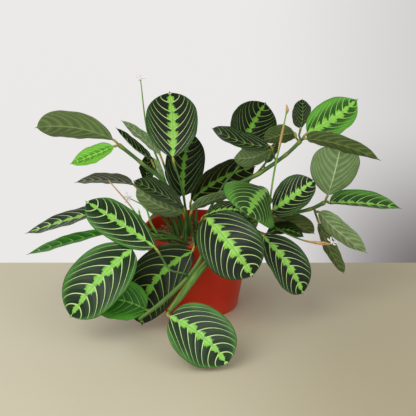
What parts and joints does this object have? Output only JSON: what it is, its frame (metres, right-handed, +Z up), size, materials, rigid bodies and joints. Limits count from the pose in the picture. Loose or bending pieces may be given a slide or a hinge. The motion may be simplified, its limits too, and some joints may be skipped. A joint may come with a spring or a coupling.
{
  "type": "potted plant",
  "caption": "Bushy prayer plant with broad striped oval leaves, arching stems and small flowers, in a tapered round nursery pot.",
  "frame": {"origin": "middle of the pot's flat base, where it stands on the ground", "axes": "+Z up; -Y is the front of the plant; +X is the plant's right-hand side seen from the front, along its widest reach"},
  "size_m": [0.5113, 0.3732, 0.317],
  "materials": {
    "terracotta": "smooth moulded plastic",
    "bark": "loose bark and coir",
    "dark": "satin leaf, dark green with pale veins",
    "mid": "satin leaf, mid green",
    "young": "satin leaf, young bright green",
    "pale": "matt leaf underside, pale green",
    "olive": "matt leaf underside, olive green",
    "stem": "satin green stem",
    "dry": "dry brown stalk",
    "petal": "thin white petal"
  },
  "bodies": {
    "root": {"flower_low_left": "petal", "flower_right": "petal", "flower_stalk_dry": "stem", "flower_stalk_left": "dry", "flower_stalk_low_left": "stem", "flower_stalk_right": "dry", "flower_stalk_tall": "stem", "flower_tall": "petal", "leaf_back": "dark", "leaf_back_left": "dark", "leaf_back_low_left": "dark", "leaf_back_low_right": "young", "leaf_back_right": "mid", "leaf_behind_crown": "dark", "leaf_behind_shoot": "dark", "leaf_behind_tall": "dark", "leaf_crown_dark": "dark", "leaf_crown_pale": "pale", "leaf_curled_lower": "mid", "leaf_curled_upper": "pale", "leaf_far_left_lower": "young", "leaf_far_left_upper": "dark", "leaf_far_right": "mid", "leaf_front_bottom": "dark", "leaf_front_centre": "dark", "leaf_front_left_lower": "dark", "leaf_front_left_upper": "dark", "leaf_front_left_young": "young", "leaf_front_pot": "dark", "leaf_front_right_folded": "mid", "leaf_left_folded": "dark", "leaf_left_thin": "mid", "leaf_left_top": "olive", "leaf_left_under": "pale", "leaf_left_young": "young", "leaf_new_spike": "young", "leaf_right_hanging": "olive", "leaf_right_low_dark": "dark", "leaf_right_low_olive": "olive", "leaf_right_lower": "dark", "leaf_right_middle": "dark", "leaf_right_olive": "olive", "leaf_right_pale": "pale", "leaf_right_sage": "pale", "leaf_right_top": "young", "leaf_right_top_behind": "dark", "leaf_rolled_a": "mid", "leaf_rolled_b": "pale", "leaf_top_flat": "dark", "leaf_top_olive": "olive", "leaf_top_round": "dark", "leaf_top_tall": "dark", "leaf_top_under": "pale", "pot": "terracotta", "soil": "bark", "stem_front": "stem", "stem_front_left": "stem", "stem_left": "stem", "stem_right": "stem", "stem_right_upper": "stem"}
  },
  "joints": []
}
